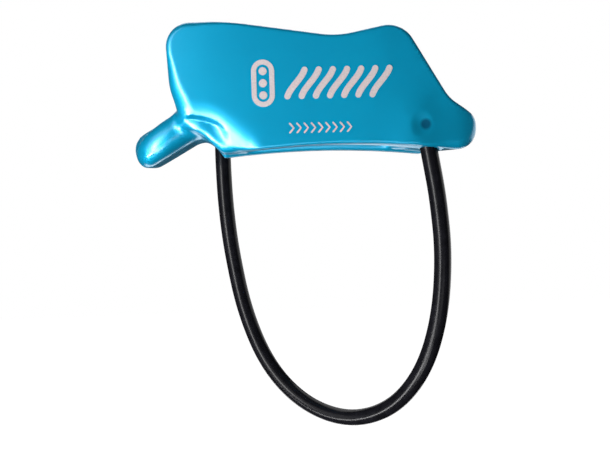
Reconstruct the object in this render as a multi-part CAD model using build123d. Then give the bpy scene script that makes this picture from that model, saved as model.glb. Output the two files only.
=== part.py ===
from build123d import *
from math import cos, pi, radians, sin, tan
import os

# Tubular belay device: a one-piece aluminium body with two rope slots, and a cable keeper loop.
# Millimetres. +X points to the smooth nose, -X to the grooved braking tongue, +Z away from the
# carabiner. The origin is the middle of the middle wall's lower edge, where the carabiner's bar rests.

# Body
WIDTH = 40.0                   # over both side walls
LENGTH_TO_NOSE = 32.2          # origin to the nose's end
LENGTH_TO_SQUARE_END = 31.8    # origin to the side walls' square end
TOP = 25.9                     # top of the side walls at the square end
SADDLE_X, SADDLE_Z = 2.6, 22.6             # where the two slopes of the top edge meet
BUMP_X, BUMP_Z = 15.8, 25.3                # where the top edge and the nose's slope meet
SEAT_RADIUS = 150.0            # shallow arch under the side walls and the corners, along X
WEB_FOOT_RADIUS = 190.0        # arch under the middle wall, which reaches 1 mm lower
PAD_HALF_WIDTH = 18.6          # the body's half width at the corner pads and round the tongue's root
NOSE_HALF_WIDTH = 18.4         # the side walls draw in towards the nose
EDGE_ROUND = 1.6

# Rope slots
SLOT_LENGTH = 36.5
SLOT_WIDTH = 13.2
WEB = 4.8                      # middle wall between the slots
SLOT_CENTRE_X = -0.2
SLOT_CENTRE_Y = (WEB + SLOT_WIDTH) / 2
SLOT_END_ROUND = 6.3
WEB_DROP = 2.0                 # the middle wall stands this much lower than the side walls

# Braking tongue, a wedge that slopes down and outwards between the side walls
TONGUE_SLOPE = 30.0
TONGUE_UNDER_SLOPE = 29.7
TONGUE_HALF_WIDTH = 14.9
GROOVE_HALF_WIDTH = 3.7
GROOVE_DEPTH = 3.0
GROOVE_ROUND = 0.8

# Keeper cable
SHEATH_RADIUS = 1.8
WIRE_RADIUS = 1.2
WIRE_CLEARANCE = 0.05
SOCKET_RADIUS = 1.85
SOCKET_DEPTH = 8.4
FERRULE_LENGTH = 5.0
FERRULE_GAP = 0.03             # the ferrule's clearance in its socket, and on the wire
PIVOT_DROP = 2.5               # the loop bends this far outside the mouths of its sockets
END_GAP = 0.2                  # between a cable end and the ball on the loop
NOSE_LEAN = 10.0               # the nose socket leans outwards, in degrees
STAKE_RADIUS = 1.25
STAKE_DEPTH = 0.6
NOSE_STAKE = (19.8, -19.3, 4.5)            # on the side face, beside the ferrule in the socket
TONGUE_STAKE = (-20.6, 20.0, 6.8)

# The loop's route, from the bend at the tongue's socket round to the bend at the nose's socket
ROUTE = [
    (-21.4, 15.8, -3.0), (-21.1, 16.1, -12.0), (-20.1, 16.4, -22.5), (-17.4, 15.8, -37.3),
    (-12.2, 13.2, -50.0), (-4.3, 8.4, -58.0), (5.2, 1.8, -60.6), (14.0, -5.1, -56.8),
    (20.1, -10.4, -48.0), (23.3, -13.7, -36.0), (24.1, -15.4, -22.5), (23.1, -15.8, -11.0),
    (21.8, -15.8, -3.0),
]


def outline(corners):
    """The inside of a closed outline, from its corners: two coordinates and the rounding of each."""
    points = [(across, up) for across, up, _ in corners]
    radii = [radius for _, _, radius in corners]
    return make_face(FilletPolyline(*points, radius=radii, close=True))


def side_prism(corners, low_y, high_y):
    """A side view outline, carried across Y from low_y to high_y."""
    return Pos(0, high_y, 0) * extrude(Plane.XZ * outline(corners), amount=high_y - low_y)


def rounded_slab(corners, half_width, radius):
    """The same, symmetric about the middle, with both of its rims rounded."""
    slab = side_prism(corners, -half_width, half_width)
    rims = [e for e in slab.edges() if abs(abs((e @ 0.5).Y) - half_width) < 0.01]
    return fillet(rims, radius)


def both_sides(solid):
    return solid + mirror(solid, Plane.XZ)


def tongue_top(x):
    """Height of the tongue's upper side at x."""
    return 8.6 + (x + 31.1) * tan(radians(TONGUE_SLOPE))


def tongue_bottom(x):
    """Height of the tongue's under side at x."""
    return 3.7 + (x + 24.5) * tan(radians(TONGUE_UNDER_SLOPE))


def side_walls():
    """Saddle top with a thumb bump, square end, sloping nose, and the rounded cut above the tongue."""
    corners = [
        (-LENGTH_TO_SQUARE_END, TOP, 4.8),
        (-19.7, TOP, 60),
        (SADDLE_X, SADDLE_Z, 19),
        (BUMP_X, BUMP_Z, 5.8),
        (25.3, 9.7, 8),
        (30.9, 6.1, 4),
        (LENGTH_TO_NOSE + 1.4, -2.25, 2.4),
        (6.75, 2.31, SEAT_RADIUS),
        (-14.8, 0.3, 2.5),
        (-23.3, 7.1, 12.5),
        (-29.5, 7.1, 2),
        (0.5 - LENGTH_TO_SQUARE_END, 13, 15),
    ]
    return rounded_slab(corners, WIDTH / 2, EDGE_ROUND) & plan_solid()


def corner_pads():
    """The thick corners that hold the cable's sockets, with the seat between them."""
    corners = [
        (1, 2.5, SEAT_RADIUS),
        (-20.6, -0.36, 1),
        (-24.5, 3.7, 0.9),
        (-28.9, 6.2, 1.2),
        (-29.3, 10, 2),
        (-15, 16, 2),
        (22, 9, 2),
        (24, -0.9, 0),
    ]
    return side_prism(corners, -PAD_HALF_WIDTH, PAD_HALF_WIDTH)


def tongue():
    """The wedge from inside the pads out to the rounded tip."""
    root = -14
    corners = [
        (root, tongue_bottom(root), 2),
        (-37.6, tongue_bottom(-37.6), 2.4),
        (-39.95, tongue_top(-39.95), 3),
        (-20, tongue_top(-20), 2),
        (root, tongue_top(-20), 2),
    ]
    return rounded_slab(corners, TONGUE_HALF_WIDTH, EDGE_ROUND)


def web_foot():
    """The middle wall's lower edge, which stands out under the side walls' arches."""
    corners = [
        (0, 1.04, WEB_FOOT_RADIUS),
        (-20.9, -1.15, 0.8),
        (-22.4, 2, 1),
        (-19, 6, 1),
        (20, 6, 1),
        (23.4, 2, 1),
        (22.4, -1.31, 0.8),
    ]
    return side_prism(corners, -WEB / 2, WEB / 2)


def brake_channel():
    """Open space over the tongue, down to its upper side and the rounded lip at the slot."""
    slot_end = SLOT_CENTRE_X - SLOT_LENGTH / 2
    return [
        (-45, tongue_top(-45), 0),
        (slot_end, tongue_top(slot_end), 4),
        (slot_end, 4, 0),
        (slot_end + SLOT_END_ROUND, 4, 0),
        (slot_end + SLOT_END_ROUND, 40, 0),
        (-45, 40, 0),
    ]


def climber_channel():
    """Open space over the nose block, down to the smooth round end that the rope runs over."""
    slot_end = SLOT_CENTRE_X + SLOT_LENGTH / 2
    return [
        (slot_end - SLOT_END_ROUND, 40, 0),
        (slot_end - SLOT_END_ROUND, 4, 0),
        (slot_end, 4, 0),
        (slot_end, 9.8, 3.2),
        (24.6, 9, 6),
        (31.4, 4.2, 3),
        (35, -7, 0),
        (45, 40, 0),
    ]


def over_web():
    """Open space over the middle wall, which stands lower than the side walls."""
    ridge = 0.8
    return [
        (-45, tongue_top(-45) + ridge, 0),
        (-27, tongue_top(-27) + ridge, 3),
        (-24, 20, 4),
        (-19.5, TOP - WEB_DROP, 4),
        (SADDLE_X, SADDLE_Z - WEB_DROP, 19),
        (BUMP_X - 1, BUMP_Z - WEB_DROP - 0.6, 5),
        (22.9, 10.2, 6),
        (31.4, 4.2, 3),
        (35, -7, 0),
        (45, 40, 0),
        (-45, 40, 0),
    ]


def plan_solid():
    """Upright prism of the body's outline from above, which draws in towards the nose."""
    half = WIDTH / 2
    right = LENGTH_TO_NOSE
    corners = [
        (-60, -half, 0),
        (11, -half, 60),
        (right, -NOSE_HALF_WIDTH, 6),
        (right, NOSE_HALF_WIDTH, 6),
        (11, half, 60),
        (-60, half, 0),
    ]
    return Pos(0, 0, -40) * extrude(outline(corners), amount=80)


def rope_slot():
    """One rope slot: straight through in Z, with round ends."""
    plan = RectangleRounded(SLOT_LENGTH, SLOT_WIDTH, SLOT_END_ROUND)
    return Pos(SLOT_CENTRE_X, -SLOT_CENTRE_Y, -10) * extrude(plan, amount=50)


def brake_groove():
    """V-shaped rope groove in the tongue's upper side, in line with one slot."""
    slope = radians(TONGUE_SLOPE)
    start = (-21.0, -SLOT_CENTRE_Y, tongue_top(-21.0))
    out_of_tongue = Vector(-sin(slope), 0, cos(slope))
    across = Vector(0, 1, 0)
    plane = Plane(origin=start, x_dir=across, z_dir=across.cross(out_of_tongue))
    half, deep, clear = GROOVE_HALF_WIDTH, GROOVE_DEPTH, 4
    outline = Polyline((-half, 0), (0, -deep), (half, 0), (half, clear), (-half, clear), close=True)
    section = fillet(make_face(outline).vertices().sort_by(Axis.Y)[0], GROOVE_ROUND)
    return extrude(plane * section, amount=30, both=True)


def bore_direction(end):
    """Unit vector into the body along one socket. End is 1 at the nose and -1 at the tongue."""
    lean = radians(NOSE_LEAN) if end > 0 else 0
    return Vector(-sin(lean), 0, cos(lean))


def pivot(end):
    return Vector(*ROUTE[-1 if end > 0 else 0])


def along_socket(end, low, high, radius):
    """Cylinder on a socket's line, between two distances from the loop's bend."""
    into = bore_direction(end)
    base = Plane(origin=pivot(end) + into * low, z_dir=into)
    return extrude(base * Circle(radius), amount=high - low)


def stake_mark(place):
    """Shallow punch mark on a side face, which locks the ferrule in its socket."""
    x, face_y, z = place
    radius = (STAKE_RADIUS ** 2 + STAKE_DEPTH ** 2) / (2 * STAKE_DEPTH)
    outwards = 1 if face_y > 0 else -1
    return Pos(x, face_y + outwards * (radius - STAKE_DEPTH), z) * Sphere(radius)


def device_body():
    body = side_walls() + corner_pads() + tongue()
    inner, outer = WEB / 2, WEB / 2 + SLOT_WIDTH
    for channel in (brake_channel(), climber_channel()):
        body -= both_sides(side_prism(channel, -outer, -inner))
    body -= side_prism(over_web(), -inner - 0.01, inner + 0.01)
    body -= both_sides(rope_slot())
    body += web_foot()
    body -= both_sides(brake_groove())
    for end, stake in ((1, NOSE_STAKE), (-1, TONGUE_STAKE)):
        body -= along_socket(end, 0, PIVOT_DROP + SOCKET_DEPTH, SOCKET_RADIUS)
        body -= stake_mark(stake)
    return body


def run_lengths(points):
    return [(Vector(*b) - Vector(*a)).length for a, b in zip(points, points[1:])]


def bend_radii(points):
    """The largest arc that each corner's two runs leave room for."""
    radii = []
    runs = run_lengths(points)
    for i in range(1, len(points) - 1):
        into = Vector(*points[i]) - Vector(*points[i - 1])
        out = Vector(*points[i + 1]) - Vector(*points[i])
        turn = radians(into.get_angle(out))
        radii.append(0.45 * min(runs[i - 1], runs[i]) / tan(turn / 2))
    return radii


def shortened(points, trim):
    """The same route with its two ends cut back by trim."""
    first, second = Vector(*points[0]), Vector(*points[1])
    last, before = Vector(*points[-1]), Vector(*points[-2])
    start = first + (second - first).normalized() * trim
    end = last + (before - last).normalized() * trim
    return [start, *points[1:-1], end]


def cable_tube(trim, radius):
    path = FilletPolyline(*shortened(ROUTE, trim), radius=bend_radii(ROUTE))
    start = Plane(origin=path @ 0, z_dir=path % 0)
    return sweep(start * Circle(radius), path=path), path.length


def keeper_loop():
    """The free part of the cable: a steel wire rope inside a plastic sheath with closed, round ends."""
    wire, wire_length = cable_tube(2.6, WIRE_RADIUS)
    hollow, _ = cable_tube(2.5, WIRE_RADIUS + WIRE_CLEARANCE)
    sheath, length = cable_tube(0, SHEATH_RADIUS)
    for end in (1, -1):
        sheath += Pos(*pivot(end)) * Sphere(SHEATH_RADIUS)
    print(f"loop {length:.1f} mm, bend radii", [round(r, 1) for r in bend_radii(ROUTE)])
    print("runs", [round(r, 1) for r in run_lengths(ROUTE)])
    ball = 4 / 3 * pi * SHEATH_RADIUS ** 3
    print(f"sheath {sheath.volume:.1f} mm3, by section {pi * SHEATH_RADIUS ** 2 * length + ball:.1f}")
    print(f"wire {wire.volume:.1f} mm3, by section {pi * WIRE_RADIUS ** 2 * wire_length:.1f}")
    return {"keeper_wire": wire, "keeper_sheath": sheath - hollow}


def cable_end(end, where):
    """What stays in one socket: the sheath's end, the wire's end, and the ferrule swaged on the wire."""
    low = SHEATH_RADIUS + END_GAP
    shoulder = PIVOT_DROP + SOCKET_DEPTH - FERRULE_LENGTH - 0.1
    top = shoulder + FERRULE_LENGTH
    hollow = WIRE_RADIUS + WIRE_CLEARANCE
    sheath = along_socket(end, low, shoulder - 0.05, SHEATH_RADIUS)
    sheath -= along_socket(end, low, shoulder, hollow)
    ferrule = along_socket(end, shoulder, top, SOCKET_RADIUS - FERRULE_GAP)
    ferrule -= along_socket(end, shoulder, top, WIRE_RADIUS + FERRULE_GAP)
    return {
        f"sheath_end_{where}": sheath,
        f"wire_end_{where}": along_socket(end, low + 0.1, top, WIRE_RADIUS),
        f"ferrule_{where}": ferrule,
    }


nodes = {"device_body": device_body(), **keeper_loop()}
nodes.update(cable_end(1, "nose"))
nodes.update(cable_end(-1, "tongue"))
os.makedirs("parts", exist_ok=True)
for name, shape in nodes.items():
    export_step(shape, f"parts/{name}.step")
    print(name, round(shape.volume, 1), "mm3", len(shape.solids()), "solid(s)")
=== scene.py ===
from math import cos, hypot, pi, radians, sin, tan

import bpy
import numpy as np
from mathutils import Matrix, Vector


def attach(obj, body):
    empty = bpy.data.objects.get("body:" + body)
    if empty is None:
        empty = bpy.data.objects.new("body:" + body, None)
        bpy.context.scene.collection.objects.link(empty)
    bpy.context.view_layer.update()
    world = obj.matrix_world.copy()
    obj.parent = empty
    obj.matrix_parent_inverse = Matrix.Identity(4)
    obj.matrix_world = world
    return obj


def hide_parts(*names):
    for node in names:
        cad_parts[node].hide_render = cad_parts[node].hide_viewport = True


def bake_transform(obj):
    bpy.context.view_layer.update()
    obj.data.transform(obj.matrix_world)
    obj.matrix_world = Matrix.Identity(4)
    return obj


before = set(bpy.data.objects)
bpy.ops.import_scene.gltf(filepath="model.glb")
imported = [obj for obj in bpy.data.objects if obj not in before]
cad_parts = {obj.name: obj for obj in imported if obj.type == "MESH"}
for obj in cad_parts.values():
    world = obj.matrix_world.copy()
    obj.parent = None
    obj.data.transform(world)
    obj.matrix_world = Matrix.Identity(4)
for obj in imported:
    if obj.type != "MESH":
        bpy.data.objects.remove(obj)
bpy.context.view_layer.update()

MM = 0.001

# ---------------------------------------------------------------------------------- camera
CAMERA_PLACE = (-0.01793, -0.23324, -0.00396)
CAMERA_AZIMUTH = radians(-3.5)
CAMERA_ELEVATION = radians(3.0)
CAMERA_ROLL = radians(1.6)
CAMERA_LENS = 62.73
SENSOR_WIDTH = 36


def photo_camera():
    """The photograph's camera: where it stands, how it turns, and its lens."""
    a, e, roll = CAMERA_AZIMUTH, CAMERA_ELEVATION, CAMERA_ROLL
    back = Vector((sin(a) * cos(e), -cos(a) * cos(e), sin(e)))
    right = Vector((cos(a), sin(a), 0))
    up = back.cross(right)
    across = right * cos(roll) - up * sin(roll)
    above = up * cos(roll) + right * sin(roll)
    camera = bpy.data.objects.new("camera", bpy.data.cameras.new("camera"))
    bpy.context.scene.collection.objects.link(camera)
    camera.data.lens = CAMERA_LENS
    camera.data.sensor_width = SENSOR_WIDTH
    camera.data.clip_start = 0.01
    camera.data.clip_end = 20
    turn = Matrix((across, above, back)).transposed()
    camera.matrix_world = Matrix.Translation(CAMERA_PLACE) @ turn.to_4x4()
    bpy.context.scene.camera = camera


photo_camera()

# ---------------------------------------------------------------------------------- meshes


def mesh_object(name, points, faces, smooth=True):
    """A mesh object from points in metres."""
    mesh = bpy.data.meshes.new(name)
    mesh.from_pydata([tuple(p) for p in points], [], [tuple(f) for f in faces])
    mesh.polygons.foreach_set("use_smooth", [smooth] * len(mesh.polygons))
    mesh.update()
    made = bpy.data.objects.new(name, mesh)
    bpy.context.scene.collection.objects.link(made)
    return made


# ----------------------------------------------------------------------------- keeper cable
CABLE_DIAMETER = 0.0036
CABLE_SIDES = 32
NOSE_LEAN = radians(10)
ROUTE = [
    (-0.0214, 0.0158, -0.0030), (-0.0211, 0.0161, -0.0120), (-0.0201, 0.0164, -0.0225),
    (-0.0174, 0.0158, -0.0373), (-0.0122, 0.0132, -0.0500), (-0.0043, 0.0084, -0.0580),
    (0.0052, 0.0018, -0.0606), (0.0140, -0.0051, -0.0568), (0.0201, -0.0104, -0.0480),
    (0.0233, -0.0137, -0.0360), (0.0241, -0.0154, -0.0225), (0.0231, -0.0158, -0.0110),
    (0.0218, -0.0158, -0.0030),
]
IN_SOCKET = 0.0048             # the modelled cable starts and ends this far above its bends


def cable_line():
    """The keeper's centre line, socket to socket, as a smooth curve's points."""
    first = Vector(ROUTE[0]) + Vector((0, 0, IN_SOCKET))
    last = Vector(ROUTE[-1]) + IN_SOCKET * Vector((-sin(NOSE_LEAN), 0, cos(NOSE_LEAN)))
    route = [first, *ROUTE, last]
    curve = bpy.data.curves.new("keeper_line", "CURVE")
    curve.dimensions = "3D"
    curve.resolution_u = 16
    spline = curve.splines.new("NURBS")
    spline.points.add(len(route) - 1)
    for point, place in zip(spline.points, route):
        point.co = (*place, 1)
    spline.order_u = 3
    spline.use_endpoint_u = True
    line = bpy.data.objects.new("keeper_line", curve)
    bpy.context.scene.collection.objects.link(line)
    bpy.context.view_layer.update()
    mesh = bpy.data.meshes.new_from_object(line)
    points = [v.co.copy() for v in mesh.vertices]
    bpy.data.objects.remove(line)
    bpy.data.meshes.remove(mesh)
    return points


def tube(name, line, radius, sides):
    """A closed tube along a line, its rings turned as little as possible from one to the next."""
    points, faces = [], []
    normal = Vector((0, 1, 0))
    for i, centre in enumerate(line):
        ahead = line[min(i + 1, len(line) - 1)] - line[max(i - 1, 0)]
        along = ahead.normalized()
        normal = (normal - along * normal.dot(along)).normalized()
        other = along.cross(normal)
        for k in range(sides):
            turn = 2 * pi * k / sides
            points.append(centre + radius * (cos(turn) * normal + sin(turn) * other))
    for i in range(len(line) - 1):
        for k in range(sides):
            j = (k + 1) % sides
            faces.append((i * sides + k, i * sides + j, (i + 1) * sides + j, (i + 1) * sides + k))
    top = (len(line) - 1) * sides
    faces.append([*range(sides)][::-1])
    faces.append([*range(top, top + sides)])
    return mesh_object(name, points, faces)


cable_points = cable_line()
cable = tube("keeper_cable", cable_points, CABLE_DIAMETER / 2, CABLE_SIDES)
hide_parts("keeper_sheath", "sheath_end_nose", "sheath_end_tongue")
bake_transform(cable)

# ------------------------------------------------------------------------ the body's shapes
# Lengths in millimetres, as in the CAD part: X to the nose, Z away from the carabiner.
TONGUE_SLOPE = radians(30)
UNDER_SLOPE = radians(29.7)
WEB = 4.8
SLOT_WIDTH = 13.2
SLOT_LENGTH = 36.5
SLOT_CENTRE_X = -0.2
SLOT_CENTRE_Y = (WEB + SLOT_WIDTH) / 2
SLOT_END_ROUND = 6.3
SIDE_FACE = 19.97              # a hair inside the CAD part, which leaves room for the marking
PADS_HALF_WIDTH = 17.4
TONGUE_RIM = 3.7
GROOVE_HALF_WIDTH = 3.7
GROOVE_DEPTH = 3.0
TINY = 0.02                    # the radius of a corner that stays sharp, or lies outside the body
TONGUE_END = SLOT_CENTRE_X - SLOT_LENGTH / 2
NOSE_END = SLOT_CENTRE_X + SLOT_LENGTH / 2


def tongue_top(x):
    """The height of the tongue's upper side, above its grooves."""
    return 8.6 + (x + 31.1) * tan(TONGUE_SLOPE)


def tongue_bottom(x):
    """The height of the tongue's underside."""
    return 3.7 + (x + 24.5) * tan(UNDER_SLOPE)


# Outlines seen from the side: each corner's X and Z, and how round it is.
SIDES = [
    (-31.8, 25.9, 4.8), (-19.7, 25.9, 60), (2.6, 22.6, 19), (15.8, 25.3, 5.8), (25.3, 9.7, 8),
    (30.9, 6.1, 4), (33.9, -1.5, 4.5), (5.5, 1.6, 150), (-15.6, 0.1, 12), (-21.2, 0.1, 1.1),
    (-24.6, 3.2, 1.1), (-29.2, 5.9, 1.2), (-29.8, 8, 1.5), (-31.3, 13, 15),
]
CREST = [(-60, 6, TINY), (-23.1, 7.7, 12.5), (0, -12.1, TINY), (0, 60, TINY), (-60, 60, TINY)]
PADS = [
    (2, 1.7, 150), (-20.6, -0.3, 1), (-24.5, 3.7, 0.9), (-28.9, 6.2, 1.2), (-29.3, 10, 2),
    (-15, 16, 2), (22, 9, 2), (24, -0.9, TINY),
]
TONGUE = [
    (-14, tongue_bottom(-14), 2), (-38.4, tongue_bottom(-38.4), 3.3),
    (-41.2, tongue_top(-41.2), 3.8), (-20, tongue_top(-20), 2), (-14, tongue_top(-20), 2),
]
WEB_FOOT = [
    (0, 1.04, 190), (-20.9, -1.15, 0.8), (-22.4, 2, 1), (-19, 6, 1), (20, 6, 1), (23.4, 2, 1),
    (22.4, -1.31, 0.8),
]
BRAKE_CHANNEL = [
    (-45, tongue_top(-45), TINY), (TONGUE_END, tongue_top(TONGUE_END), 4), (TONGUE_END, 4, TINY),
    (TONGUE_END + SLOT_END_ROUND, 4, TINY), (TONGUE_END + SLOT_END_ROUND, 40, TINY),
    (-45, 40, TINY),
]
CLIMBER_CHANNEL = [
    (NOSE_END - SLOT_END_ROUND, 40, TINY), (NOSE_END - SLOT_END_ROUND, 4, TINY),
    (NOSE_END, 4, TINY), (NOSE_END, 9.8, 3.2), (24.6, 9, 6), (31.4, 4.2, 3), (35, -7, TINY),
    (45, 40, TINY),
]
OVER_WEB = [
    (-45, tongue_top(-45) + 0.8, TINY), (-27, tongue_top(-27) + 0.8, 3), (-24, 20, 4),
    (-19.5, 23.9, 4), (2.6, 20.6, 19), (14.8, 22.7, 5), (22.9, 10.2, 6), (31.4, 4.2, 3),
    (35, -7, TINY), (45, 40, TINY), (-45, 40, TINY),
]
# Outlines seen from above: each corner's X and Y, and how round it is.
PLAN = [
    (-60, -21, TINY), (11, -21, 60), (32.7, -19.2, 7), (32.7, 19.2, 7), (11, 21, 60),
    (-60, 21, TINY),
]
TONGUE_PLAN = [(-40.9, -14.9, 9.5), (-10, -14.9, 1), (-10, 14.9, 1), (-40.9, 14.9, 9.5)]


class Outline:
    """Distance to a closed outline of straight lines and corner arcs, below zero inside it."""

    def __init__(self, corners):
        places = np.array([(u, v) for u, v, _ in corners], float)
        radii = [r for _, _, r in corners]
        before, after = np.roll(places, 1, 0), np.roll(places, -1, 0)
        cross = places[:, 0] * after[:, 1] - places[:, 1] * after[:, 0]
        hand = 1 if cross.sum() > 0 else -1
        self.arcs, self.lines, starts, ends = [], [], [], []
        for place, last, ahead, radius in zip(places, before, after, radii):
            to_last = (last - place) / np.linalg.norm(last - place)
            to_next = (ahead - place) / np.linalg.norm(ahead - place)
            half_angle = np.arccos(np.clip(to_last @ to_next, -1, 1)) / 2
            turn = to_next[0] * to_last[1] - to_next[1] * to_last[0]
            convex = 1 if turn * hand > 0 else -1
            trim = radius / tan(half_angle)
            middle = to_last + to_next
            middle = middle / np.linalg.norm(middle)
            centre = place + middle * (radius / sin(half_angle))
            self.arcs.append((centre, -middle, cos(pi / 2 - half_angle), radius, convex))
            ends.append(place + to_last * trim)
            starts.append(place + to_next * trim)
        for i, start in enumerate(starts):
            end = ends[(i + 1) % len(ends)]
            length = np.linalg.norm(end - start)
            along = (end - start) / length
            self.lines.append((start, along, length, np.array((along[1], -along[0])) * hand))

    def __call__(self, u, v):
        best = np.full(np.shape(u), 1e9)
        for centre, middle, reach, radius, convex in self.arcs:
            du, dv = u - centre[0], v - centre[1]
            away = np.sqrt(du * du + dv * dv) + 1e-12
            inside = (du * middle[0] + dv * middle[1]) >= reach * away
            d = convex * (away - radius)
            best = np.where(inside & (np.abs(d) < np.abs(best)), d, best)
        for start, along, length, out in self.lines:
            du, dv = u - start[0], v - start[1]
            t = du * along[0] + dv * along[1]
            d = du * out[0] + dv * out[1]
            ok = (t >= 0) & (t <= length) & (np.abs(d) < np.abs(best))
            best = np.where(ok, d, best)
        return best


def step_between(low, high, value):
    """0 at low and 1 at high, with a smooth climb between; low may be the larger."""
    t = np.clip((value - low) / (high - low), 0, 1)
    return t * t * (3 - 2 * t)


def soft_ramp(value, width):
    """0 below zero and the value itself above, with a soft change about width wide."""
    return width * np.log1p(np.exp(np.clip(value / width, -30, 30)))


def join(a, b, width):
    """The union of two shapes with a hollow fillet about width wide."""
    h = np.clip(width - np.abs(a - b), 0, None) / width
    return np.minimum(a, b) - h * h * width / 4


def meet(a, b, width):
    """The overlap of two shapes with a rounded edge about width wide."""
    return -join(-a, -b, width)


def slab(flat, across, radius):
    """A prism from its outline's distance and its sides' distance, with rounded rims."""
    a, b = flat + radius, across + radius
    corner = np.sqrt(np.maximum(a, 0) ** 2 + np.maximum(b, 0) ** 2)
    return corner + np.minimum(np.maximum(a, b), 0) - radius


sides_outline, pads_outline, tongue_outline = Outline(SIDES), Outline(PADS), Outline(TONGUE)
crest_outline = Outline(CREST)
foot_outline, brake_outline = Outline(WEB_FOOT), Outline(BRAKE_CHANNEL)
climber_outline, over_web_outline = Outline(CLIMBER_CHANNEL), Outline(OVER_WEB)
plan_outline, tongue_plan = Outline(PLAN), Outline(TONGUE_PLAN)
SOCKETS = [((-21.4, 15.8, -3.0), 0.0), ((21.8, -15.8, -3.0), NOSE_LEAN)]
SOCKET_RADIUS = 1.85
SOCKET_TOP = 10.9              # from the cable's bend
STAKES = [(20.2, -19.6, 4.5), (-20.6, 20.0, 6.8)]
STAKE_RADIUS = 1.05
STAKE_DEPTH = 0.08
STAKE_EDGE = 0.35              # how wide the soft edge of a punched mark is
PLAIN_RIM = 0.6                # radii of the side walls' rims
CORNER_RIM = 0.7               # added at the lower corner beside the tongue
NOSE_RIM = 1.5                 # added at the nose
CREASE_X = 17.9                # where the side faces start to taper to the nose, at their lower edge
CREASE_LEAN = 0.3
CREASE_WIDTH = 0.6
TAPER = 0.15
RIDGE_X = 18.0                 # a low swelling along the crease
RIDGE_HEIGHT = 0.5
RIDGE_WIDTH = 3.7
CROWN = 0.0022                 # how fast the side faces round off towards the square end
CREST_DROP = 0.8               # the rolled edge above the tongue, and the recess under it
RECESS_DEPTH = 1.2
BEVEL_SLOPE = 0.33             # the bevel that the crest turns into, down to the lower edge
BEVEL_CURVE = 0.022
FAR_CREST = 0.6                # the crest's share on the far side, where a socket lies close behind it


def rim_radius(x, z):
    """How round the side walls' rims are: softest on the square end and at the nose."""
    end = np.clip(0.9 + 0.26 * (18.5 - z), 0.5, 2.9)
    end = end * step_between(-20, -27, x) * step_between(3, 8, z)
    corner = CORNER_RIM * step_between(-15, -21, x) * step_between(7, 4, z)
    nose = NOSE_RIM * step_between(19, 27, x) * step_between(7, 1, z)
    return PLAIN_RIM + np.maximum(np.maximum(end, corner), nose)


def side_half_width(x, y, z):
    """The side faces: a crown, a rolled crest over a recess, a bevel, a crease and a taper."""
    past = x - CREASE_X - CREASE_LEAN * np.clip(z - 3, 0, None)
    taper = TAPER * step_between(20, 7, z) * soft_ramp(past, CREASE_WIDTH)
    crown = CROWN * np.clip(-14 - x, 0, None) ** 2
    ridge = np.exp(-((x - RIDGE_X) / RIDGE_WIDTH) ** 2)
    ridge = RIDGE_HEIGHT * ridge * step_between(14, 3, z)
    under = crest_outline(x, z)
    roll = CREST_DROP * (np.clip(under + 3.4, 0, 3.4) / 3.4) ** 2
    roll = roll + RECESS_DEPTH * step_between(-0.1, 1.0, under)
    into = soft_ramp(under + 1.6, 0.7)
    bevel = BEVEL_SLOPE * into + BEVEL_CURVE * into ** 2
    left = step_between(-19.2, -23.2, x)
    crest = (left * roll + (1 - left) * bevel) * step_between(-12, -16, x)
    crest = crest * np.where(y > 0, FAR_CREST, 1)
    return SIDE_FACE - taper - crown - crest + ridge


def outer_shape(x, y, z):
    """Side walls, the thicker middle between them, and the tongue."""
    wide = np.abs(y)
    walls = slab(sides_outline(x, z), wide - side_half_width(x, y, z), rim_radius(x, z))
    pads = slab(pads_outline(x, z), wide - PADS_HALF_WIDTH, 1.2)
    tongue = slab(tongue_outline(x, z), tongue_plan(x, y), TONGUE_RIM)
    solid = join(join(walls, pads, 0.9), tongue, 2.4)
    return meet(solid, plan_outline(x, y), 1.6)


def rope_space(x, y, z):
    """The two slots, the channels that the rope leaves by, and the room above the middle wall."""
    wide = np.abs(y)
    lane = np.abs(wide - SLOT_CENTRE_Y) - SLOT_WIDTH / 2
    a = np.abs(x - SLOT_CENTRE_X) - SLOT_LENGTH / 2 + SLOT_END_ROUND
    b = lane + SLOT_END_ROUND
    slot = np.hypot(np.maximum(a, 0), np.maximum(b, 0)) + np.minimum(np.maximum(a, b), 0)
    slot = slot - SLOT_END_ROUND
    brake = slab(brake_outline(x, z), lane, 1.6)
    climber = slab(climber_outline(x, z), lane, 1.6)
    over = np.maximum(over_web_outline(x, z), wide - WEB / 2 - 0.6)
    space = join(join(slot, brake, 1.2), climber, 1.2)
    return join(space, over, 1.0)


def grooves(x, y, z):
    """The two V grooves along the tongue, with soft bottoms."""
    off = np.abs(y) - SLOT_CENTRE_Y
    height = (z - tongue_top(x)) * cos(TONGUE_SLOPE)
    valley = np.hypot(off, 0.7) - 0.7
    groove = valley * GROOVE_DEPTH / GROOVE_HALF_WIDTH - GROOVE_DEPTH - height
    groove = groove / hypot(1, GROOVE_DEPTH / GROOVE_HALF_WIDTH)
    return np.maximum(groove, np.abs(off) - GROOVE_HALF_WIDTH)


def socket(x, y, z, bend, lean):
    """A round socket for the cable, from its bend up into the body."""
    dx, dy, dz = x - bend[0], y - bend[1], z - bend[2]
    up = dz * cos(lean) - dx * sin(lean)
    across = np.hypot(dx * cos(lean) + dz * sin(lean), dy)
    return np.maximum(across - SOCKET_RADIUS, up - SOCKET_TOP)


def stake(x, y, z, place):
    """A shallow round mark, punched into a side face: a large ball that just dips into it."""
    ball = (STAKE_RADIUS ** 2 + STAKE_DEPTH ** 2) / (2 * STAKE_DEPTH)
    centre_y = place[1] + (ball - STAKE_DEPTH) * (1 if place[1] > 0 else -1)
    return np.sqrt((x - place[0]) ** 2 + (y - centre_y) ** 2 + (z - place[2]) ** 2) - ball


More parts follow.
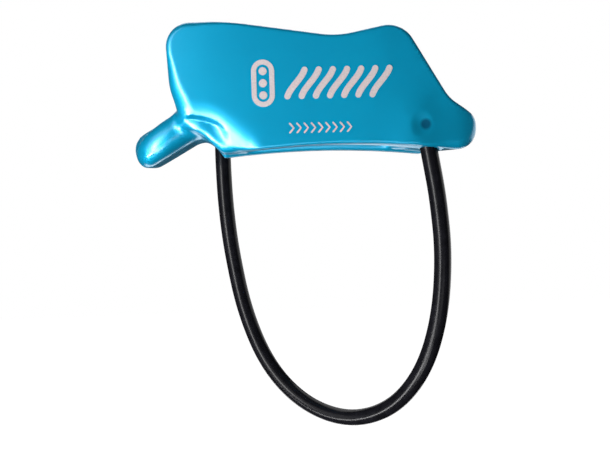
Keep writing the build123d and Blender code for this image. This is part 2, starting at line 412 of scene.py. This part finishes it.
def body_distance(x, y, z):
    """Distance to the body's surface, below zero inside."""
    body = meet(outer_shape(x, y, z), -rope_space(x, y, z), 1.3)
    foot = slab(foot_outline(x, z), np.abs(y) - WEB / 2, 0.9)
    body = join(body, foot, 0.5)
    body = meet(body, -grooves(x, y, z), 0.7)
    for bend, lean in SOCKETS:
        body = meet(body, -socket(x, y, z, bend, lean), 0.5)
    for place in STAKES:
        body = meet(body, -stake(x, y, z, place), STAKE_EDGE)
    return body


def steepest(distance, p):
    """The distance at points p, and its slope there."""
    h = 0.004
    here = distance(p[:, 0], p[:, 1], p[:, 2])
    slope = np.empty_like(p)
    for axis in range(3):
        q = p.copy()
        q[:, axis] += h
        slope[:, axis] = (distance(q[:, 0], q[:, 1], q[:, 2]) - here) / h
    return here, slope


def surface_mesh(name, distance, low, high, step, rounds):
    """A closed quad mesh, in metres, of the surface where distance is zero, with its normals.

    The space from low to high is cut into cells. Each cell that the surface passes through gets
    one point, each edge that it cuts gets one face, and the points are then evened out on it.
    """
    axes = [np.arange(low[i], high[i] + step, step) for i in range(3)]
    x, y, z = np.meshgrid(*axes, indexing="ij")
    value = distance(x, y, z)
    inside = value < 0
    shape = tuple(n - 1 for n in value.shape)

    def corner(array, i, j, k):
        return array[i:i + shape[0], j:j + shape[1], k:k + shape[2]]

    corners = [(i, j, k) for i in (0, 1) for j in (0, 1) for k in (0, 1)]
    filled = sum(corner(inside, *c).astype(np.int8) for c in corners)
    active = (filled > 0) & (filled < 8)
    index = np.full(shape, -1)
    index[active] = np.arange(active.sum())
    total = np.zeros((active.sum(), 3))
    count = np.zeros(active.sum())
    for c in corners:
        for axis in range(3):
            if c[axis] == 1:
                continue
            other = tuple(v + (n == axis) for n, v in enumerate(c))
            a = corner(value, *c)[active]
            b = corner(value, *other)[active]
            cut = (a < 0) != (b < 0)
            share = np.where(cut, a / np.where(cut, a - b, 1), 0)
            for n in range(3):
                total[:, n] += cut * (c[n] + (share if n == axis else 0))
            count += cut
    cells = np.argwhere(active)
    p = np.array([a[0] for a in axes]) + step * (cells + total / count[:, None])
    faces = []
    for axis in range(3):
        u, v = [n for n in range(3) if n != axis]
        take = [slice(None)] * 3
        take[axis] = slice(0, -1)
        first = inside[tuple(take)]
        take[axis] = slice(1, None)
        second = inside[tuple(take)]
        for sign, change in ((1, first & ~second), (-1, ~first & second)):
            at = np.argwhere(change)
            around = []
            for du, dv in ((0, 0), (1, 0), (1, 1), (0, 1)):
                c = at.copy()
                c[:, u] -= du
                c[:, v] -= dv
                around.append(index[c[:, 0], c[:, 1], c[:, 2]])
            quad = np.stack(around, 1)
            flip = sign * (1 if axis != 1 else -1)
            faces.append(quad if flip > 0 else quad[:, ::-1])
    faces = np.concatenate(faces)
    ends = np.concatenate([faces, np.roll(faces, 1, 1)]).ravel()
    starts = np.concatenate([np.roll(faces, 1, 1), faces]).ravel()
    near = np.bincount(ends, minlength=len(p))[:, None]
    for _ in range(rounds):
        mean = np.stack([np.bincount(ends, p[starts, i], len(p)) for i in range(3)], 1) / near
        p = p + 0.5 * (mean - p)
        for _ in range(2):
            here, slope = steepest(distance, p)
            p = p - slope * (here / np.maximum((slope ** 2).sum(1), 0.2))[:, None]
    made = mesh_object(name, p * MM, faces.tolist())
    _, slope = steepest(distance, p)
    return made, slope / np.linalg.norm(slope, axis=1)[:, None]


BODY_STEP = 0.42
BODY_LOW, BODY_HIGH = (-41, -21.1, -4.2), (34, 21.1, 27.3)
body, body_normals = surface_mesh(
    "device_body_visual", body_distance, BODY_LOW, BODY_HIGH, BODY_STEP, 3
)
body.data.normals_split_custom_set_from_vertices([tuple(n) for n in body_normals])
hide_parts("device_body")
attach(body, "device")

# ------------------------------------------------------------------------- marking, generic
MARK_PROUD = 0.012             # how far the marks stand out of the side face, and reach into it
MARK_SUNK = 0.03
RING_SIDES = 64
DOT_SIDES = 32
DOT_HOLE = 0.02
BADGE_X, BADGE_Z = -12.5, 13.4
TWISTS = 7
CHEVRONS = 9
CHEVRON = [(0.75, -0.9), (0.35, -0.45), (0, 0), (0.35, 0.45), (0.75, 0.9)]    # back, up from its tip


def stroke_outline(line, half):
    """Rims of a stroke of constant width along a line, with round ends: left side, right side."""
    line = np.array(line, float)
    along = np.gradient(line, axis=0)
    along /= np.linalg.norm(along, axis=1)[:, None]
    side = np.stack([-along[:, 1], along[:, 0]], 1)
    caps = [radians(a) for a in (90, 67, 45, 22)]
    left, right = [], []
    for turn in caps:
        back = -along[0] * sin(turn) * half
        left.append(line[0] + back + side[0] * cos(turn) * half)
        right.append(line[0] + back - side[0] * cos(turn) * half)
    left += list(line + side * half)
    right += list(line - side * half)
    for turn in caps[::-1]:
        ahead = along[-1] * sin(turn) * half
        left.append(line[-1] + ahead + side[-1] * cos(turn) * half)
        right.append(line[-1] + ahead - side[-1] * cos(turn) * half)
    return left, right


def thin_plate(points, faces, left, right, closed):
    """Adds a thin solid between two rims in the near side face's plane to a mesh in the making."""
    first = len(points)
    count = len(left)
    for depth in (-SIDE_FACE - MARK_PROUD, -SIDE_FACE + MARK_SUNK):
        for rim in (left, right):
            points.extend((u * MM, depth * MM, v * MM) for u, v in rim)
    left, right, back_left, back_right = (first + n * count for n in range(4))
    for i in range(count if closed else count - 1):
        j = (i + 1) % count
        faces.append((left + i, left + j, right + j, right + i))
        faces.append((back_left + j, back_left + i, back_right + i, back_right + j))
        faces.append((left + j, left + i, back_left + i, back_left + j))
        faces.append((right + i, right + j, back_right + j, back_right + i))
    if not closed:
        last = count - 1
        faces.append((left, right, back_right, back_left))
        faces.append((right + last, left + last, back_left + last, back_right + last))


def ring(u, v, wide, tall, width):
    """Outer and inner rims of a capsule-shaped ring."""
    outer, inner = [], []
    for k in range(RING_SIDES):
        turn = 2 * pi * (k + 0.5) / RING_SIDES
        lift = (tall - wide) / 2 * (1 if sin(turn) > 0 else -1)
        for rim, r in ((outer, wide / 2), (inner, wide / 2 - width)):
            rim.append((u + r * cos(turn), v + lift + r * sin(turn)))
    return outer, inner


def dot(u, v, r):
    """Outer and inner rims of a round dot: a ring with a hole too small to see."""
    turns = [2 * pi * k / DOT_SIDES for k in range(DOT_SIDES)]
    return [[(u + each * cos(t), v + each * sin(t)) for t in turns] for each in (r, DOT_HOLE)]


def marking():
    """A capsule badge, a band of rope twists and a row of chevrons: plain shapes, no lettering."""
    points, faces = [], []
    thin_plate(points, faces, *ring(BADGE_X, BADGE_Z, 4.6, 9.4, 1.0), True)
    for n in (-1, 0, 1):
        thin_plate(points, faces, *dot(BADGE_X, BADGE_Z + 2.4 * n, 0.8), True)
    for n in range(TWISTS):
        middle = -5.9 + 2.85 * n
        steps = np.linspace(-1, 1, 15)
        line = [(middle + 1.25 * sin(1.35 * t) + 0.55 * t, 13.3 + 2.6 * t) for t in steps]
        thin_plate(points, faces, *stroke_outline(line, 0.62), False)
    for n in range(CHEVRONS):
        tip = -6.6 + 1.45 * n
        line = [(tip - back, 4.35 + up) for back, up in CHEVRON]
        thin_plate(points, faces, *stroke_outline(line, 0.16), False)
    made = mesh_object("side_marking", points, faces, False)
    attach(made, "device")
    return made


marks = marking()

# ------------------------------------------------------------------------------- materials


def material(name, **values):
    """A new node material and its shader, with uniform values set on the shader's own sockets."""
    made = bpy.data.materials.new(name)
    made.use_nodes = True
    shader = made.node_tree.nodes["Principled BSDF"]
    for key, value in values.items():
        shader.inputs[key.replace("_", " ")].default_value = value
    return made, made.node_tree, shader


def noise(tree, scale, detail=4):
    """A noise in object space, in cycles per metre."""
    made = tree.nodes.new("ShaderNodeTexNoise")
    made.inputs["Scale"].default_value = scale
    made.inputs["Detail"].default_value = detail
    place = tree.nodes.new("ShaderNodeTexCoord")
    tree.links.new(place.outputs["Object"], made.inputs["Vector"])
    return made.outputs["Fac"]


def between(tree, fac, low, high):
    """A number from low to high as fac goes from 0.3 to 0.7."""
    made = tree.nodes.new("ShaderNodeMapRange")
    made.inputs["From Min"].default_value = 0.3
    made.inputs["From Max"].default_value = 0.7
    made.inputs["To Min"].default_value = low
    made.inputs["To Max"].default_value = high
    tree.links.new(fac, made.inputs["Value"])
    return made.outputs["Result"]


def colours(tree, fac, low, high):
    """A colour from low to high as fac goes from 0.3 to 0.7."""
    made = tree.nodes.new("ShaderNodeValToRGB")
    made.color_ramp.elements[0].position = 0.3
    made.color_ramp.elements[0].color = (*low, 1)
    made.color_ramp.elements[1].position = 0.7
    made.color_ramp.elements[1].color = (*high, 1)
    tree.links.new(fac, made.inputs["Fac"])
    return made.outputs["Color"]


def colour_socket(sockets, name):
    """The colour socket of a mix node, which has others of the same name."""
    return next(s for s in sockets if s.name == name and s.type == "RGBA")


def painted_shade_spots(tree, colour, places, radius):
    """Darkens a colour in small round spots over the punched marks: painted shade, where the hollows
    fall dark; millimetres.
    """
    where = tree.nodes.new("ShaderNodeTexCoord").outputs["Object"]
    for place in places:
        away = tree.nodes.new("ShaderNodeVectorMath")
        away.operation = "DISTANCE"
        away.inputs[1].default_value = [v * MM for v in place]
        tree.links.new(where, away.inputs[0])
        unshaded = tree.nodes.new("ShaderNodeMapRange")
        unshaded.inputs["From Min"].default_value = SHADE_SPOT_CORE * radius * MM
        unshaded.inputs["From Max"].default_value = radius * MM
        tree.links.new(away.outputs["Value"], unshaded.inputs["Value"])
        mix = tree.nodes.new("ShaderNodeMix")
        mix.data_type = "RGBA"
        tree.links.new(unshaded.outputs["Result"], mix.inputs["Factor"])
        colour_socket(mix.inputs, "A").default_value = SHADE_SPOT_COLOUR
        tree.links.new(colour, colour_socket(mix.inputs, "B"))
        colour = colour_socket(mix.outputs, "Result")
    return colour


def bump(tree, shader, fac, height, strength):
    """Raises a surface by a pattern, up to height metres."""
    made = tree.nodes.new("ShaderNodeBump")
    made.inputs["Strength"].default_value = strength
    made.inputs["Distance"].default_value = height
    tree.links.new(fac, made.inputs["Height"])
    tree.links.new(made.outputs["Normal"], shader.inputs["Normal"])


def dress(obj, made):
    """Gives an object one material, in place of what it had."""
    obj.data.materials.clear()
    obj.data.materials.append(made)


def finish(name, scale, dark, light, rough_scale, smooth, rough, **values):
    """A material whose colour and roughness each vary a little, with their own grain."""
    made, tree, shader = material(name, **values)
    tint = colours(tree, noise(tree, scale), dark, light)
    tree.links.new(tint, shader.inputs["Base Color"])
    tree.links.new(between(tree, noise(tree, rough_scale), smooth, rough), shader.inputs["Roughness"])
    return made, tree, shader, tint


# Satin blue anodising with a fine grain, under a clear layer, with painted shade in the punched marks.
# The spots over the punched marks are painted shade: a dark colour where the shallow hollows should
# fall dark.
SHADE_SPOT_COLOUR = (0.0, 0.1, 0.2, 1)
SHADE_SPOT_CORE = 0.55               # the share of a spot's radius that is fully dark
SHADE_SPOT_RADIUS = 1.3 * STAKE_RADIUS
GRAIN_HEIGHT = 0.000004
anodised, tree, shader, tint = finish(
    "anodised_body", 60, (0.0, 0.28, 0.485), (0.0, 0.305, 0.515), 400, 0.5, 0.56,
    Metallic=0.65, Specular_IOR_Level=0.0, Coat_Weight=1.0, Coat_Roughness=0.25, Coat_IOR=1.6,
)
shaded_tint = painted_shade_spots(tree, tint, STAKES, SHADE_SPOT_RADIUS)
tree.links.new(shaded_tint, shader.inputs["Base Color"])
bump(tree, shader, noise(tree, 9000, detail=2), GRAIN_HEIGHT, 0.5)
dress(body, anodised)

# Black extruded plastic, slightly uneven.
SHEATH_GRAIN_HEIGHT = 0.00001
black, tree, shader, _ = finish(
    "cable_sheath", 500, (0.003, 0.003, 0.004), (0.006, 0.006, 0.008), 1500, 0.17, 0.23,
    IOR=1.4, Specular_IOR_Level=0.17,
)
bump(tree, shader, noise(tree, 2500, detail=3), SHEATH_GRAIN_HEIGHT, 0.2)
dress(cable, black)

# Bare steel, plain alloy, and the matte etched marking.
steel = finish(
    "cable_wire", 2000, (0.42, 0.43, 0.45), (0.6, 0.61, 0.63), 3000, 0.3, 0.45, Metallic=1.0
)[0]
alloy = finish(
    "ferrule_alloy", 1500, (0.6, 0.6, 0.61), (0.75, 0.75, 0.76), 3000, 0.35, 0.5, Metallic=1.0
)[0]
etched = finish(
    "laser_marking", 3000, (0.42, 0.37, 0.375), (0.52, 0.47, 0.475), 5000, 0.6, 0.75, Metallic=0.35
)[0]
dress(marks, etched)
for node in ("keeper_wire", "wire_end_nose", "wire_end_tongue"):
    dress(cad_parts[node], steel)
for node in ("ferrule_nose", "ferrule_tongue"):
    dress(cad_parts[node], alloy)

# ------------------------------------------------------------------------- light and floor
# The camera sees white paper all round; other rays see a dark room, with soft boxes in it.
WORLD_SEEN = 1.0
WORLD_LIGHT = 0.02


def studio_world():
    """A world that is white to the camera and nearly dark to the object."""
    bpy.context.scene.view_settings.view_transform = "Standard"
    world = bpy.data.worlds.new("studio")
    bpy.context.scene.world = world
    world.use_nodes = True
    tree = world.node_tree
    background = tree.nodes["Background"]
    background.inputs["Color"].default_value = (1, 1, 1, 1)
    rays = tree.nodes.new("ShaderNodeLightPath")
    strength = tree.nodes.new("ShaderNodeMapRange")
    strength.inputs["To Min"].default_value = WORLD_LIGHT
    strength.inputs["To Max"].default_value = WORLD_SEEN
    tree.links.new(rays.outputs["Is Camera Ray"], strength.inputs["Value"])
    tree.links.new(strength.outputs["Result"], background.inputs["Strength"])


def soft_box(name, azimuth, height, away, size, radiance):
    """A rectangular light aimed at the object; degrees right of the front and up, metres away."""
    a, e = radians(azimuth), radians(height)
    place = away * Vector((sin(a) * cos(e), -cos(a) * cos(e), sin(e)))
    light = bpy.data.lights.new(name, "AREA")
    light.shape = "RECTANGLE"
    light.size, light.size_y = size
    light.energy = radiance * pi * size[0] * size[1]
    made = bpy.data.objects.new(name, light)
    bpy.context.scene.collection.objects.link(made)
    aim = place.to_track_quat("Z", "Y").to_matrix().to_4x4()
    made.matrix_world = Matrix.Translation(place) @ aim
    made.visible_camera = False


studio_world()
soft_box("broad_left", -46, 8, 0.7, (0.7, 0.6), 1.9)
soft_box("strip_left", -45, -5, 0.4, (0.1, 0.13), 18)
soft_box("strip_low", -41, -21, 0.4, (0.09, 0.11), 19)
soft_box("below_left", -31, -34, 0.4, (0.09, 0.09), 17)
soft_box("cable_glint", -58, -33, 0.4, (0.17, 0.06), 36)
soft_box("strip_below", -15, -43, 0.4, (0.1, 0.07), 12)
soft_box("fill_low", 6, -26, 0.5, (0.25, 0.12), 1.8)
soft_box("right_back", 115, 0, 0.6, (0.8, 0.4), 1.6)
soft_box("back_low", 180, -40, 0.6, (0.7, 0.2), 3)
soft_box("back_high", 172, 56, 0.6, (0.7, 0.5), 2.2)
soft_box("back_wide", 184, 14, 0.8, (0.6, 0.35), 1.2)

FLOOR_HEIGHT = -0.3
FLOOR_HALF = 2.0
floor_corners = [(x * FLOOR_HALF, y * FLOOR_HALF, FLOOR_HEIGHT)
                 for x, y in ((-1, -1), (1, -1), (1, 1), (-1, 1))]
floor = mesh_object("floor", floor_corners, [(0, 1, 2, 3)], False)
pale, tree, shader = material(
    "pale_paper", Base_Color=(0.85, 0.85, 0.85, 1), Roughness=0.9,
    Emission_Color=(1, 1, 1, 1), Emission_Strength=1.0,
)
dress(floor, pale)
floor.visible_diffuse = False
floor.visible_glossy = False
